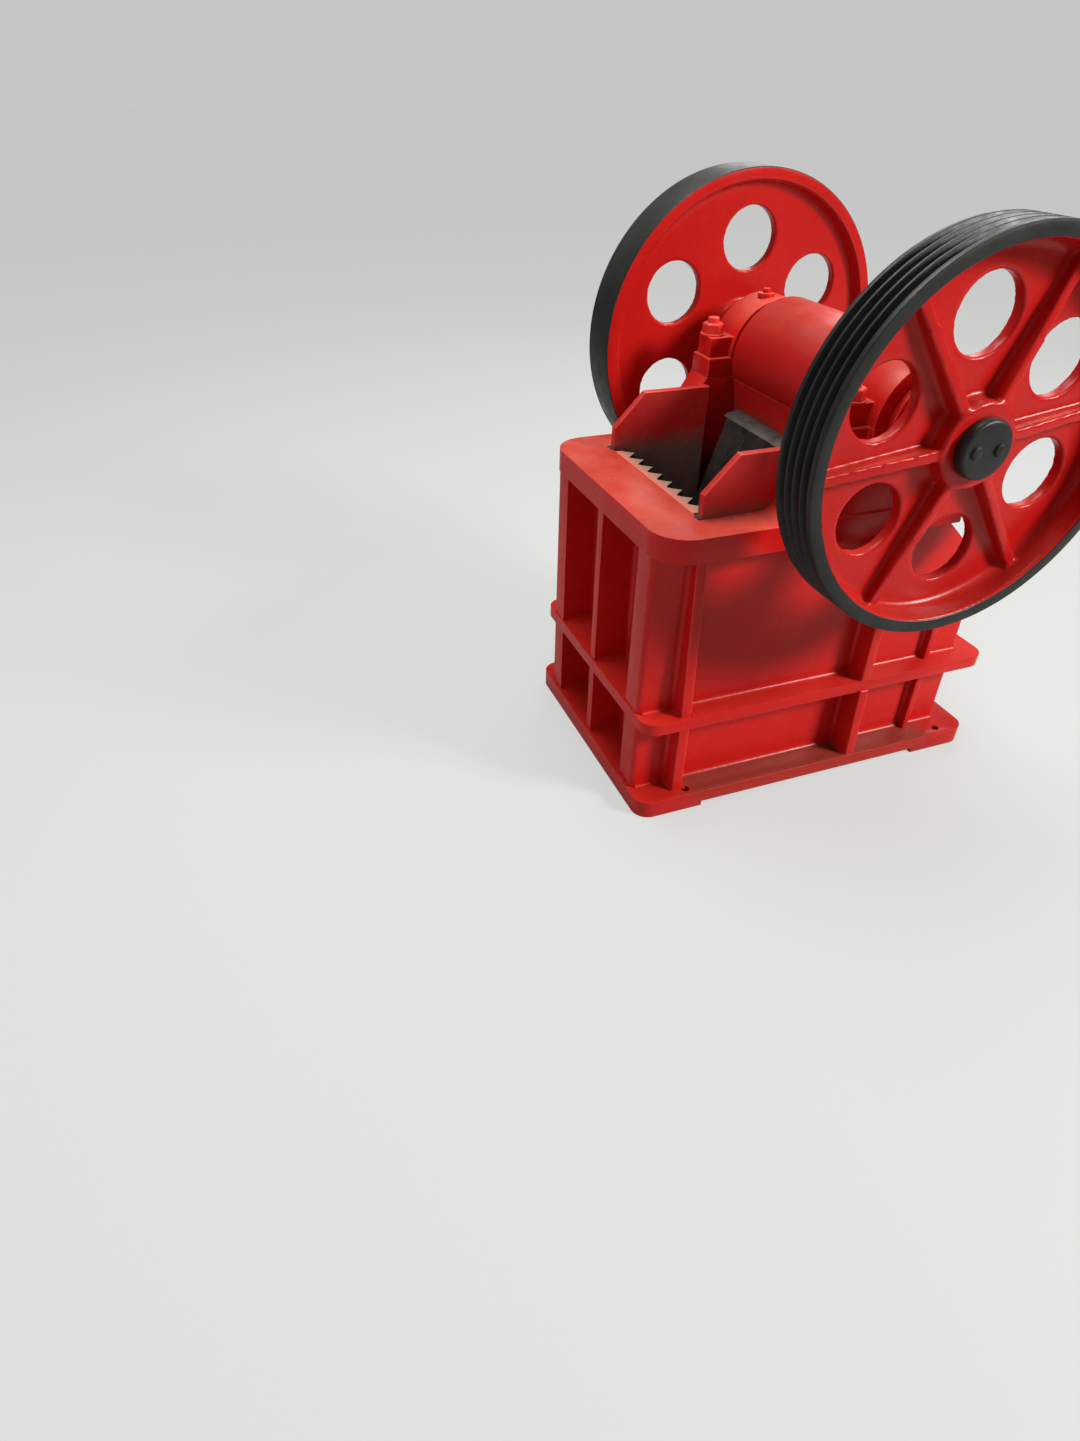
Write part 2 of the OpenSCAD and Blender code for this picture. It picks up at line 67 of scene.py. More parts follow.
# Main places, in metres, read from the solids
BASE_LO, BASE_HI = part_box("base_flange")
WALL_LO, WALL_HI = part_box("side_wall_right")
MID_LO, MID_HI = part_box("mid_flange")
TOP_LO, TOP_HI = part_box("top_flange")
POST_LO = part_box("corner_post_right")[0]
PED_LO, PED_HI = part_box("bearing_pedestal_right")
FRONT_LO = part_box("front_wall")[0]
REAR_LO, REAR_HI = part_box("rear_wall")
FIX_LO, FIX_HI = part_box("fixed_jaw_plate")
RIM_LO, RIM_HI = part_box("belt_wheel_rim")
WALL_X, WALL_IN = WALL_HI[0], WALL_LO[0]
BASE_T = BASE_HI[2]
WHEEL_R = (RIM_HI[1] - RIM_LO[1]) / 2
WHEEL_X = RIM_HI[0]
RIM_W = RIM_HI[0] - RIM_LO[0]

# Places that the boxes don't show
SHAFT = Vector((0, 0.053, 0.988))
RIM_T = 0.030
RIB_T = 0.028
BEARING_RIB_Y = SHAFT[1] + 0.029
REAR_RIB_Y0, REAR_RIB_Y1 = REAR_HI[1] - 0.118, REAR_HI[1] - 0.100
PEDESTAL_LEAN = 0.100

UP, DOWN, OUT, IN, FORE, BACK = (0, 0, 1), (0, 0, -1), (1, 0, 0), (-1, 0, 0), (0, -1, 0), (0, 1, 0)


# ---------------------------------------------------------------- materials
class Looks:
    """A new material, with short calls for the nodes that the looks are made of."""

    def __init__(self, name):
        self.mat = bpy.data.materials.new(name)
        self.mat.use_nodes = True
        self.nodes, self.links = self.mat.node_tree.nodes, self.mat.node_tree.links
        self.bsdf = self.nodes["Principled BSDF"]

    def put(self, value, socket):
        """Sets a socket to a number or a colour, or links another socket to it."""
        if isinstance(value, (float, int)):
            socket.default_value = value
        elif isinstance(value, tuple):
            socket.default_value = (*value, 1)
        else:
            self.links.new(value, socket)

    def node(self, kind, **inputs):
        node = self.nodes.new("ShaderNode" + kind)
        for key, value in inputs.items():
            self.put(value, node.inputs[key])
        return node

    def coord(self):
        return self.node("TexCoord").outputs["Object"]

    def axes(self, vector):
        return self.node("SeparateXYZ", Vector=vector).outputs

    def up_facing(self, start, end):
        """0 to 1 as the normal turns upwards from start to end."""
        normal = self.node("NewGeometry").outputs["Normal"]
        return self.ramp(self.axes(normal)["Z"], (start, 0.0), (end, 1.0))

    def noise(self, vector, scale, detail=4.0, rough=0.55):
        node = self.node("TexNoise", Vector=vector, Scale=scale, Detail=detail, Roughness=rough)
        return node.outputs["Fac"]

    def ramp(self, fac, *stops):
        """stops are (place, value)."""
        node = self.node("ValToRGB", Fac=fac)
        for element, (place, value) in zip(node.color_ramp.elements, stops):
            element.position = place
            element.color = (value, value, value, 1)
        return node.outputs["Color"]

    def mix(self, fac, a, b):
        node = self.node("Mix")
        node.data_type = "RGBA"
        for key, value in ((0, fac), (6, a), (7, b)):
            self.put(value, node.inputs[key])
        return node.outputs[2]

    def maths(self, kind, result, *values):
        """The same operation with each value in turn."""
        for value in values:
            node = self.node("Math")
            node.operation = kind
            self.put(result, node.inputs[0])
            self.put(value, node.inputs[1])
            result = node.outputs[0]
        return result

    def surface(self, color, spread, rough, **settings):
        """Sets the colour, the roughness that spreads between two values, and plain settings."""
        self.put(color, self.bsdf.inputs["Base Color"])
        self.put(self.ramp(spread, (0.3, rough[0]), (0.7, rough[1])), self.bsdf.inputs["Roughness"])
        for key, value in settings.items():
            self.bsdf.inputs[key.replace("_", " ")].default_value = value

    def bump(self, *layers):
        """layers are (height, distance in metres, strength), the coarsest first."""
        normal = None
        for height, distance, strength in layers:
            node = self.node("Bump", Height=height, Distance=distance, Strength=strength)
            if normal:
                self.links.new(normal, node.inputs["Normal"])
            normal = node.outputs["Normal"]
        self.links.new(normal, self.bsdf.inputs["Normal"])


# the last colour on the next line is brown dirt mixed with painted shade, for the base's top and sides
RED_DUST, GREY_DUST, DIRT_AND_SHADE = (0.74, 0.33, 0.22), (0.30, 0.28, 0.25), (0.195, 0.034, 0.023)
# the first colour on the next line is the dark brown of painted shade, for paint that lies in shade
PAINTED_SHADE, CHIP, SCUFF = (0.050, 0.020, 0.015), (0.16, 0.07, 0.05), (0.05, 0.048, 0.045)
OVERSPRAY, DUSTY_OVERSPRAY, WHITE = (0.47, 0.009, 0.007), (0.62, 0.16, 0.10), (1.0, 1.0, 1.0)
BASE_MIDDLE_Y = (BASE_LO[1] + BASE_HI[1]) / 2


def enamel(name, deep, bright, rough=(0.24, 0.38), dust=0.16, worn=0.0, coat=0.05, shade_top=None):
    """Thick glossy paint brushed over a casting, with dust high up, and dirt mixed with painted shade low
    down, on what faces up; the last argument is the height below which painted shade darkens it."""
    look = Looks(name)
    coord = look.coord()
    place = look.axes(coord)
    color = look.mix(look.ramp(look.noise(coord, 3.0), (0.30, 0.0), (0.70, 1.0)), deep, bright)
    if worn:
        chips = look.ramp(look.noise(coord, 85.0, 6.0, 0.7), (0.60, 0.0), (0.64, 1.0))
        color = look.mix(look.maths("MULTIPLY", chips, worn), color, CHIP)
    up = look.up_facing(0.45, 0.95)
    patch = look.ramp(look.noise(coord, 11.0, 6.0, 0.65), (0.30, 0.25), (0.75, 1.0))
    high = look.ramp(place["Z"], (0.20, 0.0), (0.75, 1.0))
    color = look.mix(look.maths("MULTIPLY", up, patch, dust, high), color, RED_DUST)
    # dirt mixed with painted shade on the base, and splashed on its sides, less on the pads at its ends
    low = look.ramp(place["Z"], (0.04, 1.0), (0.30, 0.0))
    side_dirt_and_shade = look.ramp(place["Z"], (BASE_T - 0.004, 0.45), (BASE_T + 0.006, 0.0))
    dirt_and_shade = look.maths("MAXIMUM", look.maths("MULTIPLY", up, low, 0.92), side_dirt_and_shade)
    off_middle = look.maths("ABSOLUTE", look.maths("SUBTRACT", place["Y"], BASE_MIDDLE_Y), 0.0)
    between_pads = look.ramp(off_middle, (0.36, 1.0), (0.43, 0.25))
    color = look.mix(look.maths("MULTIPLY", dirt_and_shade, between_pads), color, DIRT_AND_SHADE)
    # painted shade: below the given height, with a ragged edge, the paint turns dark brown
    if shade_top:
        ragged = look.maths("MULTIPLY", look.noise(coord, 22.0, 5.0), 0.06)
        depth = look.maths("SUBTRACT", shade_top, look.maths("ADD", place["Z"], ragged))
        shade_mask = look.ramp(look.maths("MULTIPLY", depth, 10.0), (0.0, 0.0), (0.6, 0.92))
        color = look.mix(shade_mask, color, PAINTED_SHADE)
    look.surface(color, look.noise(coord, 14.0, 5.0), rough,
                 Specular_IOR_Level=0.16, Coat_Weight=coat, Coat_Roughness=0.16)
    look.bump((look.noise(coord, 7.0, 1.0), 0.006, 0.35), (look.noise(coord, 55.0, 2.0), 0.0012, 0.5),
              (look.noise(coord, 420.0, 2.0), 0.0003, 0.4))
    return look.mat


def black_enamel(name, deep, bright):
    """Satin black paint with a little dust and fine scuffs."""
    look = Looks(name)
    coord = look.coord()
    color = look.mix(look.ramp(look.noise(coord, 9.0, 5.0), (0.3, 0.0), (0.7, 1.0)), deep, bright)
    color = look.mix(look.maths("MULTIPLY", look.up_facing(0.3, 0.95), 0.07), color, GREY_DUST)
    scuff = look.ramp(look.noise(coord, 120.0, 6.0, 0.75), (0.66, 0.0), (0.74, 1.0))
    color = look.mix(look.maths("MULTIPLY", scuff, 0.35), color, SCUFF)
    look.surface(color, look.noise(coord, 30.0), (0.34, 0.52), Specular_IOR_Level=0.26)
    look.bump((look.noise(coord, 45.0, 3.0), 0.0012, 0.5), (look.noise(coord, 380.0, 2.0), 0.0003, 0.4))
    return look.mat


def cast_steel(name, dark, light, rust, rust_amount, metal=0.75, rough=(0.45, 0.7), red_top=None, dust=None):
    """Bare cast or rolled steel with patches of rust. dust is the colour of what faces up, with overspray
    beside the flange; red_top is the height from which overspray covers all."""
    look = Looks(name)
    coord = look.coord()
    place = look.axes(coord)
    cloud = look.ramp(look.noise(coord, 18.0, 6.0, 0.65), (0.3, 0.0), (0.7, 1.0))
    patch = look.ramp(look.noise(coord, 26.0, 8.0, 0.7), (0.46, 0.0), (0.66, 1.0))
    covered = look.maths("MULTIPLY", patch, rust_amount)
    color = look.mix(covered, look.mix(cloud, dark, light), rust)
    if dust:
        up = look.up_facing(0.75, 0.95)
        inwards = look.maths("MULTIPLY", look.maths("SUBTRACT", place["Y"], FIX_LO[1]), 40.0)
        tone = look.mix(look.ramp(inwards, (0.0, 0.0), (1.0, 1.0)), DUSTY_OVERSPRAY, dust)
        color = look.mix(up, color, tone)
        covered = look.mix(up, covered, WHITE)
    if red_top:
        ragged = look.maths("MULTIPLY", look.noise(coord, 40.0, 5.0), 0.05)
        above = look.maths("SUBTRACT", look.maths("ADD", place["Z"], ragged), red_top)
        spray = look.ramp(look.maths("MULTIPLY", above, 8.0), (0.0, 0.0), (0.5, 1.0))
        color = look.mix(spray, color, OVERSPRAY)
        covered = look.mix(spray, covered, WHITE)
    if metal:
        look.put(look.ramp(covered, (0.0, metal), (0.6, 0.0)), look.bsdf.inputs["Metallic"])
    look.surface(color, look.noise(coord, 50.0, 5.0), rough)
    look.bump((look.noise(coord, 70.0), 0.0016, 0.7), (look.noise(coord, 320.0, 3.0), 0.0006, 0.6))
    return look.mat


RED = enamel("red_enamel", (0.44, 0.0065, 0.0055), (0.54, 0.0105, 0.0085), dust=0.30)
# lighter red for the roundings, also used on the bearing bolts: thinner paint there, and painted highlight
RED_WORN_AND_HIGHLIT = enamel("red_enamel_worn_and_highlit", (0.52, 0.016, 0.012), (0.62, 0.030, 0.022), dust=0.34)
WHEEL_RED = enamel("wheel_enamel", (0.38, 0.0060, 0.0050), (0.47, 0.0095, 0.0075), (0.24, 0.34), dust=0.08)
BLACK = black_enamel("black_enamel", (0.006, 0.007, 0.007), (0.016, 0.017, 0.016))
JAW_TONES = ((0.022, 0.019, 0.017), (0.062, 0.052, 0.044), (0.085, 0.038, 0.020), 0.45, 0.5)
JAW = cast_steel("jaw_cast_steel", *JAW_TONES)
DUSTY_JAW = cast_steel("dusty_jaw_steel", *JAW_TONES, dust=(0.25, 0.185, 0.135))
LINER = cast_steel("cheek_liner", (0.125, 0.078, 0.064), (0.190, 0.118, 0.094), (0.120, 0.045, 0.028), 0.4,
                   metal=0.0, red_top=TOP_HI[2] + 0.005)
STEEL = cast_steel("oiled_steel", (0.16, 0.15, 0.14), (0.34, 0.32, 0.30), (0.20, 0.10, 0.06), 0.25,
                   metal=0.9, rough=(0.28, 0.42))
DARK_STEEL = cast_steel("blackened_steel", (0.030, 0.028, 0.026), (0.075, 0.068, 0.062), (0.10, 0.05, 0.03),
                        0.35, metal=0.6)
SPRING_RED = enamel("spring_enamel", (0.28, 0.007, 0.006), (0.44, 0.014, 0.011), worn=0.8, dust=0.1)
# darker red with painted shade below 0.80 m, for the faces inside the frame
CHAMBER_SHADE_RED = enamel("chamber_enamel_painted_shade", (0.40, 0.0065, 0.0055), (0.50, 0.0105, 0.0085), dust=0.1, shade_top=0.80)
# painted shade for the pitman: a darker red, turning dark brown below 0.93 m
SHADOW_RED = enamel("pitman_shadow_enamel", (0.30, 0.006, 0.005), (0.42, 0.009, 0.007), (0.34, 0.5), coat=0.1,
                    shade_top=0.93)


# ---------------------------------------------------------------- mesh helpers
BEVEL_FROM = math.radians(28.0)
FILLET_STEPS, FILLET_SINK = 7, 0.0006


def link(mesh, name, body, slot, *mats):
    piece = bpy.data.objects.new(name, mesh)
    scene.collection.objects.link(piece)
    for mat in mats:
        mesh.materials.append(mat)
    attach(piece, body)
    return piece


def to_mesh(bm, name):
    mesh = bpy.data.meshes.new(name)
    bm.to_mesh(mesh)
    bm.free()
    return mesh


def from_bmesh(bm, name, body, slot, *mats, sharp=40.0):
    bmesh.ops.recalc_face_normals(bm, faces=bm.faces)
    mesh = to_mesh(bm, name)
    mesh.shade_smooth()
    mesh.set_sharp_from_angle(angle=math.radians(sharp))
    return link(mesh, name, body, slot, *mats)


def weld(bm, distance, flat):
    """Joins close vertices, and makes single faces of regions that are flat within an angle in degrees."""
    bmesh.ops.remove_doubles(bm, verts=bm.verts, dist=distance)
    bmesh.ops.dissolve_limit(bm, angle_limit=math.radians(flat), verts=bm.verts, edges=bm.edges)


def clean_bmesh(node):
    """The welded mesh of a CAD node."""
    bm = bmesh.new()
    bm.from_mesh(NODES[node].data)
    weld(bm, 2e-6, 0.4)
    return bm


def evaluated_bmesh(obj):
    bm = bmesh.new()
    bm.from_object(obj, bpy.context.evaluated_depsgraph_get())
    return bm


def union(names):
    """One welded bmesh of several CAD nodes that touch."""
    copies = [bpy.data.objects.new("tmp", to_mesh(clean_bmesh(name), "tmp")) for name in names]
    for copy in copies:
        scene.collection.objects.link(copy)
    for other in copies[1:]:
        join = copies[0].modifiers.new("join", "BOOLEAN")
        join.operation = "UNION"
        join.solver = "EXACT"
        join.object = other
    bm = evaluated_bmesh(copies[0])
    for copy in copies:
        bpy.data.objects.remove(copy)
    weld(bm, 2e-5, 0.6)
    return bm


def bevelled(bm, name, body, slot, width, mats, weight=None, segments=3):
    """A piece from bm with rounded edges. weight(edge) scales the width; the second material is for the
    roundings."""
    layer = bm.edges.layers.float.new("bevel_weight_edge")
    for edge in bm.edges:
        if len(edge.link_faces) == 2 and edge.calc_face_angle(0) > BEVEL_FROM:
            edge[layer] = weight(edge) if weight else 1.0
    mesh = to_mesh(bm, name)
    mesh.shade_smooth()
    piece = link(mesh, name, body, slot, *mats)
    mod = piece.modifiers.new("bevel", "BEVEL")
    mod.width = width
    mod.segments = segments
    mod.limit_method = "WEIGHT"
    mod.harden_normals = True
    mod.miter_outer = "MITER_ARC"
    mod.use_clamp_overlap = True
    if len(mats) > 1:
        mod.material = 1
    return piece


def dress(node, width, mats=(RED, RED_WORN_AND_HIGHLIT), slot="frame_paint"):
    """A rounded copy of one CAD node stands for it."""
    piece = bevelled(clean_bmesh(node), node + "_cast", NODES[node]["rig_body"], slot, width, mats)
    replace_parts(piece, node)


def skin(bm, rings, closed=False, mats=None):
    """Faces from ring to ring, a ring of one vertex being a tip, and over both ends unless the last ring
    joins the first. mats gives a material index per step."""
    count = max(len(ring) for ring in rings)
    for k, (one, two) in enumerate(zip(rings, rings[1:] + rings[:1] if closed else rings[1:])):
        for i in range(count):
            j = (i + 1) % count
            if len(one) == 1:
                loop = [one[0], two[i], two[j]]
            elif len(two) == 1:
                loop = [one[i], two[0], one[j]]
            else:
                loop = [one[i], two[i], two[j], one[j]]
            face = bm.faces.new(loop)
            if mats:
                face.material_index = mats[k]
    ends = [] if closed else [rings[0], rings[-1]]
    for ring in ends:
        if len(ring) > 1:
            bm.faces.new(ring)


def prism(bm, outline, offset):
    """A prism from a closed outline of points to the same outline moved by offset."""
    skin(bm, [[bm.verts.new(Vector(p) + by) for p in outline] for by in (Vector(), offset)])


def fillet(bm, start, end, a, b, r):
    """Fills the concave corner along start-end between faces that run off in directions a and b."""
    start, end, a, b = Vector(start), Vector(end), Vector(a), Vector(b)
    outline = [start - FILLET_SINK * (a + b), start + r * a - FILLET_SINK * b]
    for i in range(FILLET_STEPS + 1):
        t = math.pi / 2 * i / FILLET_STEPS
        outline.append(start + r * ((1 - math.sin(t)) * a + (1 - math.cos(t)) * b))
    outline.append(start + r * b - FILLET_SINK * a)
    prism(bm, outline, end - start)


def fillet_both(bm, *places, r):
    """The same fillet on the right and, mirrored, on the left; places are start, end, a and b."""
    for side in (1, -1):
        fillet(bm, *((side * x, y, z) for x, y, z in places), r)


def lathe(bm, profile, at, count, closed=False, mats=None):
    """Turns a profile of (place along the axis, radius); at(along, across, up) gives each point."""
    rings = []
    for along, r in profile:
        turns = [2 * math.pi * i / count for i in range(count if r > 0 else 1)]
        rings.append([bm.verts.new(at(along, r * math.cos(t), r * math.sin(t))) for t in turns])
    skin(bm, rings, closed, mats)


def rounded(points, radius, steps):
    """A profile with its corners rounded, apart from both ends; points are (x, r) or (x, r, own radius)."""
    out = [points[0][:2]]
    for prev, here, after in zip(points, points[1:], points[2:]):
        p = Vector(here[:2])
        own = here[2] if len(here) > 2 else radius
        to_prev, to_next = Vector(prev[:2]) - p, Vector(after[:2]) - p
        cut = min(own, 0.48 * to_prev.length, 0.48 * to_next.length)
        a, b = p + to_prev.normalized() * cut, p + to_next.normalized() * cut
        for i in range(steps + 1):
            t = i / steps
            out.append(tuple(a * (1 - t) ** 2 + p * 2 * t * (1 - t) + b * t ** 2))
    out.append(points[-1][:2])
    return out


def rings_along(bm, center, axis, levels):
    """Rings round an axis from center; levels are (height, radii round the ring, turn in radians)."""
    axis = Vector(axis).normalized()
    side = axis.orthogonal().normalized()
    other = axis.cross(side)
    rings = []
    for height, radii, turn in levels:
        angles = [turn + 2 * math.pi * i / len(radii) for i in range(len(radii))]
        middle = Vector(center) + axis * height
        rings.append([bm.verts.new(middle + r * (side * math.cos(t) + other * math.sin(t)))
                      for r, t in zip(radii, angles)])
    return rings


def hex_head(bm, center, axis, across, height, turn=0.0):
    """A hexagon nut or bolt head standing on center along axis, with chamfered corners."""
    corner, flat = across / math.sqrt(3), across / 2
    skin(bm, rings_along(bm, center, axis, [
        (0.0, [corner, flat] * 6, turn), (height * 0.88, [corner, flat] * 6, turn),
        (height, [corner * 0.86, flat * 0.93] * 6, turn)]))


def disc(bm, center, axis, radius, height, edge, count=32):
    """A round washer, stud or boss standing on center along axis, with its upper edge rounded."""
    edge = min(edge, height, radius)
    levels = ((0.0, radius), (height - edge, radius), (height - 0.3 * edge, radius - 0.3 * edge),
              (height, radius - edge))
    skin(bm, rings_along(bm, center, axis, [(up, [r] * count, 0.0) for up, r in levels]))


def studded_nut(bm, center, axis, size, stud, turn):
    """Washer, hexagon nut and the stud's end; size is the thread's diameter, stud what stands out of it."""
    axis, center = Vector(axis), Vector(center)
    washer = size * 0.16
    disc(bm, center, axis, size * 1.05, washer, size * 0.04)
    hex_head(bm, center + axis * washer, axis, size * 1.62, size * 0.85, turn)
    disc(bm, center + axis * size, axis, size * 0.5, stud, size * 0.1)


# ---------------------------------------------------------------- frame casting
CAST = ["base_flange", "side_wall_right", "side_wall_left", "front_wall", "rear_wall", "corner_post_right",
        "corner_post_left", "front_ribs", "mid_flange", "top_flange", "bearing_pedestal_right",
        "bearing_pedestal_left"]
CAST_ROUNDING, RIB_ROUNDING = 0.011, 0.0035
BASE_EDGE, TOP_EDGE, PLAIN_EDGE, HOLE_EDGE, JAW_EDGE = 1.0, 0.6, 0.28, 0.1, 0.05
SAME, HOLE_STEP = 1e-4, 0.003


def cast_weight(edge):
    """Widest rounding on the base's outer edges, then on the top flange's, and least on the bolt holes and
    beside the jaw plate."""
    a, b = (v.co for v in edge.verts)
    m = (a + b) / 2
    of_hole = edge.calc_length() < HOLE_STEP
    if abs(a.z - BASE_T) < SAME and abs(b.z - BASE_T) < SAME:
        if abs(m.x) > WALL_X + 0.06 or m.y < POST_LO[1] or m.y > REAR_HI[1] + 0.05:
            return HOLE_EDGE if of_hole else BASE_EDGE
    if abs(a.z - TOP_HI[2]) < SAME and abs(b.z - TOP_HI[2]) < SAME:
        if abs(m.x) > 0.30 or m.y < TOP_LO[1] + 0.12:
            return TOP_EDGE
    if abs(m.z - TOP_HI[2]) < SAME and abs(m.y - FIX_LO[1]) < 0.004 and abs(m.x) < WALL_IN:
        return JAW_EDGE
    return HOLE_EDGE if of_hole else PLAIN_EDGE


# the faces inside the frame, on the side walls and the rear wall, get painted shade: a darker red that turns
# dark brown low down
bm = union(CAST)
for face in bm.faces:
    m, n = face.calc_center_median(), face.normal
    of_side = n.x * m.x < -0.9 * abs(m.x) and WALL_IN - 0.01 < abs(m.x) < WALL_IN + 0.002
    of_rear = n.y < -0.9 and abs(m.y - REAR_LO[1]) < 0.02 and abs(m.x) < WALL_IN
    if m.z > BASE_T and (of_side or of_rear):
        face.material_index = 2
casting = bevelled(bm, "frame_casting", "frame", "frame_paint", CAST_ROUNDING, (RED, RED_WORN_AND_HIGHLIT, CHAMBER_SHADE_RED),
                   cast_weight, segments=4)
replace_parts(casting, *CAST)

# side ribs: each runs a little into the wall and the flanges, so that no seam shows, and the lower bearing
# rib leans in to the middle flange's edge
INTO_FLANGE = ((BASE_T, -0.012), (MID_LO[2], 0.004), (MID_HI[2], -0.004), (TOP_LO[2], 0.004))
INTO_WALL, BEARING_RIB_LEAN = 0.006, 0.008
for node in ("side_ribs_right", "side_ribs_left"):
    bm = clean_bmesh(node)
    for vert in bm.verts:
        for z, by in INTO_FLANGE:
            if abs(vert.co.z - z) < SAME:
                vert.co.z += by
                break
        if abs(abs(vert.co.x) - WALL_X) < SAME:
            vert.co.x -= math.copysign(INTO_WALL, vert.co.x)
        elif BASE_T < vert.co.z < MID_HI[2] and abs(vert.co.x) > MID_HI[0] + 0.002:
            vert.co.x -= math.copysign(BEARING_RIB_LEAN, vert.co.x)
    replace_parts(bevelled(bm, node + "_cast", "frame", "frame_paint", RIB_ROUNDING, (RED, RED_WORN_AND_HIGHLIT)), node)

# fillets: radii of walls on and under the flanges, of the niche beside the corner rib, of ribs, of the
# front wall with its posts, and of the pedestals
FOOT_R, HEAD_R, NICHE_FOOT_R, NICHE_HEAD_R = 0.014, 0.012, 0.010, 0.014
RIB_R, RIB_END_R, REAR_RIB_R = 0.010, 0.012, 0.009
FRONT_R, POST_R, POST_FOOT_R, FRONT_RIB_R = 0.016, 0.018, 0.006, 0.014
PEDESTAL_FRONT_R, PEDESTAL_SIDE_R = 0.020, 0.005
corner_y0, corner_y1 = FRONT_LO[1], FRONT_LO[1] + RIB_T
bear_y0, bear_y1 = BEARING_RIB_Y, BEARING_RIB_Y + RIB_T
niche_y, front_rib_y, post_in = POST_LO[1] + 0.012, POST_LO[1] + 0.010, POST_LO[0]
corner_low_x, corner_foot_x, corner_top_x = MID_HI[0] - 0.010, TOP_HI[0] - 0.010, TOP_HI[0] - 0.032
bear_low_x, bear_mid_x, bear_high_x = BASE_HI[0] - 0.006, MID_HI[0] - 0.006, TOP_HI[0] - 0.005
# each storey's floor and ceiling, and where its corner rib and its bearing rib end below and above
storeys = [(BASE_T, MID_LO[2], corner_low_x, corner_low_x, bear_low_x, bear_mid_x),
           (MID_HI[2], TOP_LO[2], corner_foot_x, corner_top_x, bear_high_x, bear_high_x)]
bm = bmesh.new()
for z0, z1, corner_x0, corner_x1, bear_x0, bear_x1 in storeys:
    lower = z0 == BASE_T
    # side wall to flanges, in three stretches
    for y0, y1 in ((corner_y1, bear_y0), (bear_y1, REAR_RIB_Y0), (REAR_RIB_Y1, REAR_HI[1])):
        fillet_both(bm, (WALL_X, y0, z0), (WALL_X, y1, z0), OUT, UP, r=FOOT_R)
        if lower or y1 < REAR_RIB_Y0:
            fillet_both(bm, (WALL_X, y0, z1), (WALL_X, min(y1, PED_HI[1]), z1), OUT, DOWN, r=HEAD_R)
    # niche in front of the corner rib
    for z, way, r in ((z0, UP, NICHE_FOOT_R), (z1, DOWN, NICHE_HEAD_R)):
        fillet_both(bm, (WALL_X, niche_y, z), (WALL_X, corner_y0, z), OUT, way, r=r)
    fillet_both(bm, (WALL_X, corner_y0, z0), (corner_x0, corner_y0, z0), FORE, UP, r=NICHE_FOOT_R)
    fillet_both(bm, (WALL_X, corner_y0, z1), (corner_x1, corner_y0, z1), FORE, DOWN, r=NICHE_HEAD_R)
    # ribs to wall, and ribs to flanges
    for y, way in ((corner_y0, FORE), (corner_y1, BACK), (bear_y0, FORE), (bear_y1, BACK)):
        fillet_both(bm, (WALL_X, y, z0), (WALL_X, y, z1), OUT, way, r=RIB_R)
    for y, way, x0, x1 in ((corner_y1, BACK, corner_x0, corner_x1), (bear_y0, FORE, bear_x0, bear_x1),
                           (bear_y1, BACK, bear_x0, bear_x1)):
        fillet_both(bm, (WALL_X, y, z0), (x0, y, z0), way, UP, r=RIB_END_R)
        fillet_both(bm, (WALL_X, y, z1), (x1, y, z1), way, DOWN, r=RIB_END_R)
    top = z1 if lower else REAR_HI[2] - 0.02
    for y, way in ((REAR_RIB_Y0, FORE), (REAR_RIB_Y1, BACK)):
        fillet_both(bm, (WALL_X, y, z0), (WALL_X, y, top), OUT, way, r=REAR_RIB_R)
    # front wall, its posts and its rib
    for z, way in ((z0, UP), (z1, DOWN)):
        fillet(bm, (-post_in, corner_y0, z), (post_in, corner_y0, z), FORE, way, FRONT_R)
    fillet_both(bm, (post_in, corner_y0, z0), (post_in, corner_y0, z1), IN, FORE, r=POST_R)
    fillet_both(bm, (RIB_T / 2, corner_y0, z0), (RIB_T / 2, corner_y0, z1), OUT, FORE, r=FRONT_RIB_R)
    fillet_both(bm, (RIB_T / 2, front_rib_y, z0), (RIB_T / 2, corner_y0, z0), OUT, UP, r=RIB_END_R)
    fillet_both(bm, (post_in, niche_y, z0), (post_in, corner_y0, z0), IN, UP, r=FOOT_R)
    fillet_both(bm, (post_in, niche_y, z0), (WALL_X - 0.014, POST_LO[1], z0), FORE, UP, r=POST_FOOT_R)
    # rear wall
    fillet(bm, (-WALL_X, REAR_HI[1], z0), (WALL_X, REAR_HI[1], z0), BACK, UP, FOOT_R)
    if lower:
        fillet(bm, (-WALL_X, REAR_HI[1], z1), (WALL_X, REAR_HI[1], z1), BACK, DOWN, HEAD_R)
# pedestals on the top flange
slope = Vector((0, PEDESTAL_LEAN, PED_HI[2] - TOP_HI[2])).normalized()
fillet_both(bm, (PED_LO[0], PED_LO[1], TOP_HI[2]), (PED_HI[0], PED_LO[1], TOP_HI[2]), FORE, slope,
            r=PEDESTAL_FRONT_R)
fillet_both(bm, (PED_HI[0], PED_LO[1], TOP_HI[2]), (PED_HI[0], PED_HI[1], TOP_HI[2]), OUT, UP,
            r=PEDESTAL_SIDE_R)
from_bmesh(bm, "frame_fillets", "frame", "frame_paint", RED)

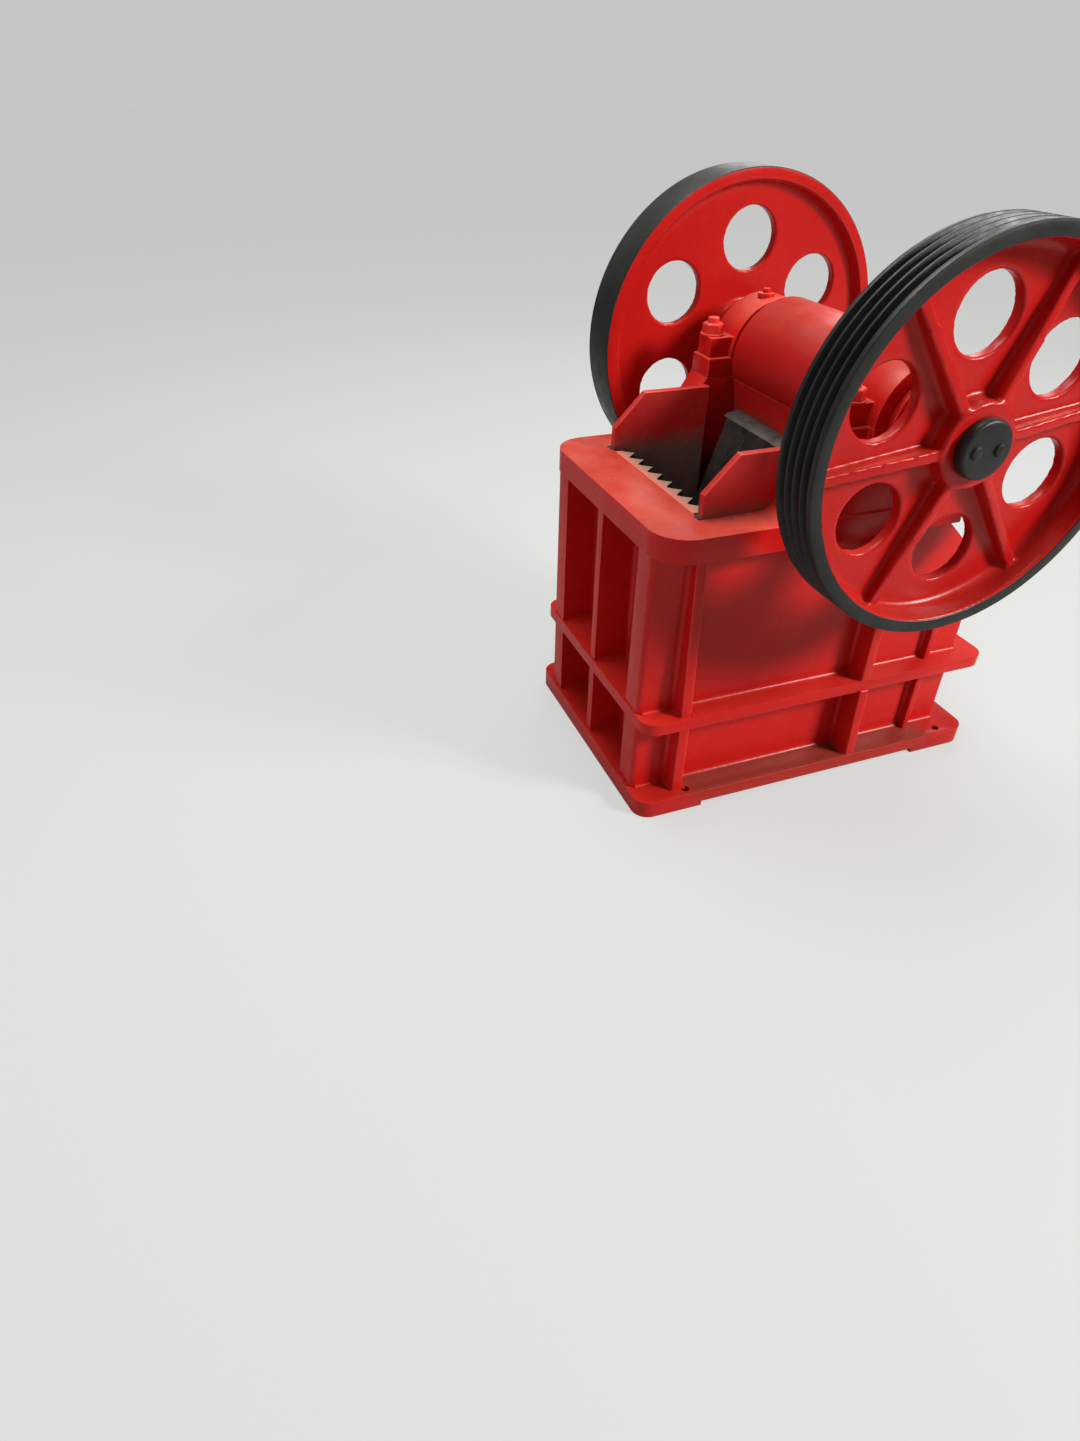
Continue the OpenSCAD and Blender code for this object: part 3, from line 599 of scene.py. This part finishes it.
# ---------------------------------------------------------------- bearings and guards
STUD_Y, EAR_Z, STUD, STUD_OUT, STUD_TURN = 0.170, 0.048, 0.030, 0.014, 0.3
COVER_BOLTS, COVER_BOLT_R, COVER_BOLT, COVER_BOLT_H = 6, 0.084, 0.019, 0.008
PLUG_Y, CROWN_Z, PLUG_SINK = -0.02, 0.136, 0.004
PLUG_R, PLUG_H, PLUG_EDGE, PLUG_HEAD, PLUG_HEAD_H = 0.022, 0.012, 0.003, 0.020, 0.010
for side, sign in (("right", 1), ("left", -1)):
    dress("bearing_housing_" + side, 0.004)
    dress("bearing_cap_" + side, 0.006)
    dress("bearing_cover_" + side, 0.005)
    dress("cheek_plate_" + side, 0.003, (LINER, RED_WORN_AND_HIGHLIT))
    dress("pitman_cover_" + side, 0.004)
    bm = bmesh.new()
    cap_lo, cap_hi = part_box("bearing_cap_" + side)
    mid_x = (cap_lo[0] + cap_hi[0]) / 2
    for dy in (-STUD_Y, STUD_Y):
        studded_nut(bm, (mid_x, SHAFT[1] + dy, SHAFT[2] + EAR_Z), UP, STUD, STUD_OUT, STUD_TURN)
    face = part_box("bearing_cover_" + side)[1 if sign > 0 else 0][0]
    for k in range(COVER_BOLTS):
        t = 2 * math.pi * (k + 0.5) / COVER_BOLTS
        center = (face, SHAFT[1] + COVER_BOLT_R * math.cos(t), SHAFT[2] + COVER_BOLT_R * math.sin(t))
        hex_head(bm, center, (sign, 0, 0), COVER_BOLT, COVER_BOLT_H, t)
    from_bmesh(bm, "bearing_bolts_" + side, "frame", "bare_steel", RED_WORN_AND_HIGHLIT)
    # lubrication plug on the cap's crown
    bm = bmesh.new()
    foot = Vector((mid_x, SHAFT[1] + PLUG_Y, SHAFT[2] + CROWN_Z - PLUG_SINK))
    disc(bm, foot, UP, PLUG_R, PLUG_H, PLUG_EDGE)
    hex_head(bm, foot + Vector((0, 0, PLUG_H)), UP, PLUG_HEAD, PLUG_HEAD_H)
    from_bmesh(bm, "bearing_plug_" + side, "frame", "frame_paint", RED)

# rusty weld at the foot of each guard's front end, also dark to paint the shade of the gap there: its outline
# beside the guard, in half thicknesses across and in metres along
WELD_OUTLINE = ((-1.3, 0.004), (-1.2, -0.006), (-0.4, -0.009), (0.5, -0.006), (1.0, -0.010), (1.3, 0.002))
WELD_SINK, WELD_H = 0.001, 0.0035
bm = bmesh.new()
cheek_lo, cheek_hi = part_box("cheek_plate_right")
mid, half = (cheek_lo[0] + cheek_hi[0]) / 2, (cheek_hi[0] - cheek_lo[0]) / 2
for sign in (1, -1):
    foot = [(sign * (mid + dx * half), cheek_lo[1] + dy, TOP_HI[2] - WELD_SINK) for dx, dy in WELD_OUTLINE]
    prism(bm, foot, Vector((0, 0, WELD_H)))
from_bmesh(bm, "guard_foot_rust_and_shade", "frame", "bare_steel", DARK_STEEL)

# ---------------------------------------------------------------- jaws
TOOTH_PITCH, TOOTH_BASE, TOOTH_DEPTH, TOOTH_POWER = 0.0535, 0.013, 0.029, 1.25
TOOTH_STEPS, JAW_ROWS = 12, 40
MOUTH_GAP, DISCHARGE_GAP, SWING_Z0, SWING_Z1 = 0.250, 0.042, 0.165, 0.858


def jaw_plate(name, node, body, teeth, length, place, mat, back=0.0):
    """A toothed plate with its back at y = back and its teeth towards +y, moved to its place."""
    half = teeth * TOOTH_PITCH / 2
    outline = [(-half, back)]
    for i in range(teeth * TOOTH_STEPS + 1):
        # gullets at the ends of each tooth, the crest in its middle
        rise = 1 - abs(2 * (i / TOOTH_STEPS % 1.0) - 1)
        outline.append((i * TOOTH_PITCH / TOOTH_STEPS - half, TOOTH_BASE + TOOTH_DEPTH * rise ** TOOTH_POWER))
    outline.append((half, back))
    bm = bmesh.new()
    skin(bm, [[bm.verts.new(place @ Vector((x, y, length * k / JAW_ROWS))) for x, y in outline]
              for k in range(JAW_ROWS + 1)])
    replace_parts(from_bmesh(bm, name, body, "jaw_metal", mat, sharp=32.0), node)


jaw_plate("fixed_jaw_cast", "fixed_jaw_plate", "frame", 8, FIX_HI[2] - FIX_LO[2],
          Matrix.Translation((0, FIX_LO[1], FIX_LO[2])), DUSTY_JAW, back=-0.002)
lean = math.atan2(MOUTH_GAP - DISCHARGE_GAP, SWING_Z1 - SWING_Z0)
tip = Matrix.Translation((0, FIX_HI[1] + DISCHARGE_GAP, FIX_LO[2]))
to_back = Matrix.Translation((0, TOOTH_BASE + TOOTH_DEPTH, 0))
jaw_plate("swing_jaw_cast", "swing_jaw_plate", "swing_jaw", 7, (SWING_Z1 - SWING_Z0) / math.cos(lean),
          tip @ Matrix.Rotation(-lean, 4, "X") @ to_back @ Matrix.Rotation(math.pi, 4, "Z"), JAW)
dress("pitman", 0.008, (SHADOW_RED, SHADOW_RED))
dress("rod_clevis", 0.003)
dress("jaw_wedge", 0.002, (DARK_STEEL,), "bare_steel")
dress("toggle_block", 0.004)
dress("toggle_plate", 0.006, (DARK_STEEL,), "bare_steel")

# ---------------------------------------------------------------- tension rod and spring
ROD_LO, ROD_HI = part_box("tension_rod")
NUT_LO, NUT_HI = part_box("rod_nuts")
SPR_LO, SPR_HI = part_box("tension_spring")
CUP_LO, CUP_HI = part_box("spring_cup")
WASH_LO, WASH_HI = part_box("spring_washer")
rod_z = (ROD_LO[2] + ROD_HI[2]) / 2
rod_r = (ROD_HI[2] - ROD_LO[2]) / 2
CHAMFER, THREAD_PITCH, THREAD_DEPTH, THREAD_FROM = 0.002, 0.003, 0.0016, WASH_LO[1] - 0.02


def along_rod(profile, name, node, slot, mat, closed=False):
    """Turns a profile of (y, r) round the tension rod's axis and stands for a node."""
    bm = bmesh.new()
    lathe(bm, profile, lambda y, across, up: (across, y, rod_z + up), 48, closed)
    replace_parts(from_bmesh(bm, name, "frame", slot, mat), node)


rod = [(ROD_LO[1], rod_r - CHAMFER), (ROD_LO[1] + CHAMFER, rod_r), (THREAD_FROM, rod_r)]
y = THREAD_FROM
while y < ROD_HI[1] - 2 * THREAD_PITCH:
    rod += [(y + 0.1 * THREAD_PITCH, rod_r), (y + 0.5 * THREAD_PITCH, rod_r - THREAD_DEPTH),
            (y + 0.9 * THREAD_PITCH, rod_r)]
    y += THREAD_PITCH
rod += [(ROD_HI[1] - CHAMFER, rod_r), (ROD_HI[1], rod_r - CHAMFER)]
along_rod(rod, "rod_turned", "tension_rod", "bare_steel", STEEL)
bore, r = rod_r + 0.0004, (WASH_HI[2] - WASH_LO[2]) / 2
along_rod([(WASH_LO[1], bore), (WASH_LO[1], r - CHAMFER), (WASH_LO[1] + CHAMFER, r),
           (WASH_HI[1] - CHAMFER, r), (WASH_HI[1], r - CHAMFER), (WASH_HI[1], bore)],
          "washer_turned", "spring_washer", "bare_steel", STEEL, closed=True)
bore, r, chamfer = rod_r + 0.003, (CUP_HI[2] - CUP_LO[2]) / 2, 0.003
along_rod([(CUP_LO[1], bore), (CUP_LO[1], r), (CUP_HI[1] - chamfer, r), (CUP_HI[1], r - chamfer),
           (CUP_HI[1], bore)], "cup_cast", "spring_cup", "frame_paint", RED, closed=True)

NUT_ACROSS, NUT_GAP, NUT_TURN = 0.042, 0.0005, 0.35
bm = bmesh.new()
half = (NUT_HI[1] - NUT_LO[1]) / 2
for k in range(2):
    hex_head(bm, (0, NUT_LO[1] + k * half + NUT_GAP, rod_z), BACK, NUT_ACROSS, half - NUT_GAP, NUT_TURN * k)
nuts = from_bmesh(bm, "rod_hex_nuts", "frame", "bare_steel", STEEL)
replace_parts(nuts, "rod_nuts")

# the coil: nearly a turn at each end lies flat, and the others rise evenly between them
WIRE_R, TURNS, FLAT_TURNS, FLAT_RISE = 0.007, 9, 0.9, 0.002
TURN_STEPS, WIRE_SIDES = 36, 12
coil_r = (SPR_HI[2] - SPR_LO[2]) / 2 - WIRE_R
y0, y1 = SPR_LO[1] + WIRE_R, SPR_HI[1] - WIRE_R
bm = bmesh.new()
rings = []
for i in range(int((TURNS + 2 * FLAT_TURNS) * TURN_STEPS) + 1):
    turn = i / TURN_STEPS
    if turn < FLAT_TURNS:
        y = y0 + FLAT_RISE * turn / FLAT_TURNS
    elif turn > FLAT_TURNS + TURNS:
        y = y1 - FLAT_RISE + FLAT_RISE * (turn - FLAT_TURNS - TURNS) / FLAT_TURNS
    else:
        y = y0 + FLAT_RISE + (turn - FLAT_TURNS) / TURNS * (y1 - y0 - 2 * FLAT_RISE)
    t = 2 * math.pi * turn
    radial = Vector((math.cos(t), 0, math.sin(t)))
    center = Vector((coil_r * math.cos(t), y, rod_z + coil_r * math.sin(t)))
    around = [2 * math.pi * s / WIRE_SIDES for s in range(WIRE_SIDES)]
    rings.append([bm.verts.new(center + WIRE_R * (radial * math.cos(s) + Vector((0, math.sin(s), 0))))
                  for s in around])
skin(bm, rings)
spring = from_bmesh(bm, "spring_coil", "frame", "spring_paint", SPRING_RED, sharp=60)
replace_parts(spring, "tension_spring")

# ---------------------------------------------------------------- shaft and wheels
GROOVES, GROOVE_PITCH, GROOVE_DEPTH, GROOVE_R = 4, 0.026, 0.013, 0.0015
GROOVE_HALF, GROOVE_LOW_HALF = 0.010, 0.005
RIM_OUTER_R, RIM_INNER_R, RIM_BORE_STEP, RIM_SMALL_R = 0.006, 0.004, 0.03, 0.002
WEB_OUT, WEB_IN, HUB_R = WHEEL_X - 0.070, WHEEL_X - 0.098, 0.092
RIM_FILLET, HUB_FILLET, RING_SINK = 0.020, 0.014, 0.004
CAP_BOLT_OUT, CAP_BOLT_Y, CAP_BOLT_R, CAP_BOLT_H = 0.004, 0.030, 0.014, 0.0065
RIM_IN_R = WHEEL_R - RIM_T
dress("eccentric_shaft", 0.002, (STEEL,), "bare_steel")


def rim_profile(grooved):
    """Outline of the rim in (x, r), from the bore round the outside and back to the bore."""
    lo, hi = WHEEL_X - RIM_W, WHEEL_X
    points = [(lo + RIM_BORE_STEP, RIM_IN_R), (lo, RIM_IN_R, RIM_INNER_R), (lo, WHEEL_R, RIM_OUTER_R)]
    for k in range(GROOVES if grooved else 0):
        c = (lo + hi) / 2 + (k - (GROOVES - 1) / 2) * GROOVE_PITCH
        low_r = WHEEL_R - GROOVE_DEPTH
        points += [(c - GROOVE_HALF, WHEEL_R, GROOVE_R), (c - GROOVE_LOW_HALF, low_r, GROOVE_R),
                   (c + GROOVE_LOW_HALF, low_r, GROOVE_R), (c + GROOVE_HALF, WHEEL_R, GROOVE_R)]
    points += [(hi, WHEEL_R, RIM_OUTER_R), (hi, RIM_IN_R, RIM_INNER_R), (hi - RIM_BORE_STEP, RIM_IN_R)]
    return rounded(points, RIM_SMALL_R, 3)


def fillet_ring(bm, at, x, way, root, wall, out, r, steps, count):
    """A ring that fills the corner between the web's face at x and the wall at a radius; way and out are
    the signs of the directions in which the face and the wall look, and root lies within the wall."""
    profile = [(x - RING_SINK * way, root), (x + way * r, root)]
    for i in range(steps + 1):
        t = math.pi / 2 * i / steps
        profile.append((x + way * r * (1 - math.sin(t)), wall + out * r * (1 - math.cos(t))))
    profile.append((x - RING_SINK * way, wall + out * r))
    lathe(bm, profile, at, count, closed=True)


def wheel(side, node, grooved):
    """A rim, a web and a cap. The rim is black, with red on its bore and on its face towards the machine."""
    hand = "right" if side > 0 else "left"
    at = lambda x, across, up: (side * x, SHAFT[1] + across, SHAFT[2] + up)
    profile = rim_profile(grooved)
    inner_face = WHEEL_X - RIM_W + 0.0015
    red = [int(max(a[1], b[1]) < RIM_IN_R + 0.0012 or max(a[0], b[0]) < inner_face)
           for a, b in zip(profile, profile[1:] + profile[:1])]
    bm = bmesh.new()
    lathe(bm, profile, at, 160, closed=True, mats=red)
    rim = from_bmesh(bm, node + "_rim_turned", "drive", "black_paint", BLACK, WHEEL_RED, sharp=30)
    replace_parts(rim, node + "_rim")
    # web: the solid, a ring within the rim and fillet rings, remeshed as one casting
    bm = evaluated_bmesh(NODES[node + "_web"])
    wall = RIM_IN_R - 0.003
    lo, hi = WHEEL_X - RIM_W + 0.002, WHEEL_X - 0.002
    lathe(bm, [(lo, wall), (hi, wall), (hi, RIM_IN_R + 0.012), (lo, RIM_IN_R + 0.012)], at, 160, closed=True)
    for x, way in ((WEB_OUT, 1), (WEB_IN, -1)):
        fillet_ring(bm, at, x, way, RIM_IN_R + 0.002, wall, -1, RIM_FILLET, 7, 128)
        fillet_ring(bm, at, x, way, HUB_R - 0.007, HUB_R, 1, HUB_FILLET, 6, 96)
    bmesh.ops.recalc_face_normals(bm, faces=bm.faces)
    web = link(to_mesh(bm, node + "_web_cast"), node + "_web_cast", "drive", "wheel_paint")
    remesh = web.modifiers.new("remesh", "REMESH")
    remesh.mode = "VOXEL"
    remesh.voxel_size = 0.0042
    remesh.use_smooth_shade = True
    smooth = web.modifiers.new("smooth", "SMOOTH")
    smooth.factor = 0.5
    smooth.iterations = 5
    solid = bpy.data.meshes.new_from_object(web.evaluated_get(bpy.context.evaluated_depsgraph_get()))
    web.modifiers.clear()
    web.data = solid
    solid.materials.clear()
    solid.materials.append(WHEEL_RED)
    solid.shade_smooth()
    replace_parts(web, node + "_web")
    # cap on the shaft's end: a domed cover with two bolt heads
    cap_lo, cap_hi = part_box("shaft_cap_" + hand)
    x0, x1 = sorted((side * cap_lo[0], side * cap_hi[0]))
    r = (cap_hi[1] - cap_lo[1]) / 2
    top = x1 - CAP_BOLT_OUT
    bm = bmesh.new()
    lathe(bm, rounded([(x0, 0.0), (x0, r), (top, r, 0.010), (top, 0.0)], 0.004, 5), at, 96)
    for dy in (-CAP_BOLT_Y, CAP_BOLT_Y):
        disc(bm, at(top - 0.001, dy, 0.0), (side, 0, 0), CAP_BOLT_R, CAP_BOLT_H, 0.005, 24)
    cap = from_bmesh(bm, "shaft_cap_dome_" + hand, "drive", "black_paint", BLACK, sharp=30)
    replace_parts(cap, "shaft_cap_" + hand)


wheel(1, "belt_wheel", True)
wheel(-1, "flywheel", False)


# ---------------------------------------------------------------- floor, light and camera
def blend(nodes, links, share, real, seen, out):
    """Sends the real surface out, and by the share the one that the camera sees."""
    both = nodes.new("ShaderNodeMixShader")
    for source, socket in ((share, 0), (real.outputs[0], 1), (seen.outputs[0], 2)):
        links.new(source, both.inputs[socket])
    links.new(both.outputs[0], nodes[out].inputs["Surface"])


# pale floor: what the camera sees is lifted towards its colour and keeps the shadow
FLOOR_SIZE, FLOOR_SINK = 40.0, 0.0005
mesh = bpy.data.meshes.new("floor")
corners = ((-1, -1), (1, -1), (1, 1), (-1, 1))
mesh.from_pydata([(x * FLOOR_SIZE, y * FLOOR_SIZE, 0) for x, y in corners], [], [(0, 1, 2, 3)])
floor = bpy.data.objects.new("floor", mesh)
floor.location = (0, 0, -FLOOR_SINK)
scene.collection.objects.link(floor)
pale = Looks("pale_floor")
pale.bsdf.inputs["Base Color"].default_value = (0.40, 0.41, 0.40, 1)
pale.bsdf.inputs["Roughness"].default_value = 0.75
lifted = pale.maths("MULTIPLY", pale.node("LightPath").outputs["Is Camera Ray"], 0.6)
blend(pale.nodes, pale.links, lifted, pale.bsdf, pale.node("Emission", Color=(0.86, 0.87, 0.86)),
      "Material Output")
mesh.materials.append(pale.mat)


def area(name, place, target, size, power, color=WHITE):
    data = bpy.data.lights.new(name, "AREA")
    data.shape = "RECTANGLE"
    data.size = data.size_y = size
    data.energy = power
    data.color = color
    lamp = bpy.data.objects.new(name, data)
    lamp.location = place
    lamp.rotation_euler = (Vector(target) - Vector(place)).to_track_quat("-Z", "Y").to_euler()
    scene.collection.objects.link(lamp)


area("key", (4.4, 4.2, 4.4), (0.2, 0, 0.4), 1.7, 680, (1.0, 0.98, 0.94))
area("top", (-0.8, -0.6, 4.4), (0, 0, 0.6), 2.4, 160, (1.0, 0.99, 0.96))
area("fill", (0.6, -4.3, 1.8), (0, 0, 0.5), 2.4, 34)
area("rear", (-2.8, 2.4, 2.8), (0, 0, 0.6), 2.4, 46)

world = bpy.data.worlds.new("studio")
scene.world = world
world.use_nodes = True
nodes, links = world.node_tree.nodes, world.node_tree.links
real, seen = nodes["Background"], nodes.new("ShaderNodeBackground")
real.inputs["Color"].default_value = (0.95, 0.94, 0.91, 1)
real.inputs["Strength"].default_value = 0.20
seen.inputs["Color"].default_value = (0.555, 0.562, 0.555, 1)
blend(nodes, links, nodes.new("ShaderNodeLightPath").outputs["Is Camera Ray"], real, seen, "World Output")

# the camera was fitted to the photograph
camera_data = bpy.data.cameras.new("camera")
camera_data.sensor_fit = "VERTICAL"
camera_data.sensor_height = 36.0
camera_data.lens = 22.442
camera = bpy.data.objects.new("camera", camera_data)
right = Vector((0.35044, 0.93645, 0.01625))
above = Vector((-0.55860, 0.19505, 0.80618))
toward = Vector((0.75177, -0.29159, 0.59145))
turned = Matrix((right, above, toward)).transposed().to_4x4()
camera.matrix_world = Matrix.Translation((1.910, -1.445, 1.615)) @ turned
scene.collection.objects.link(camera)
scene.camera = camera
scene.view_settings.view_transform = "Standard"
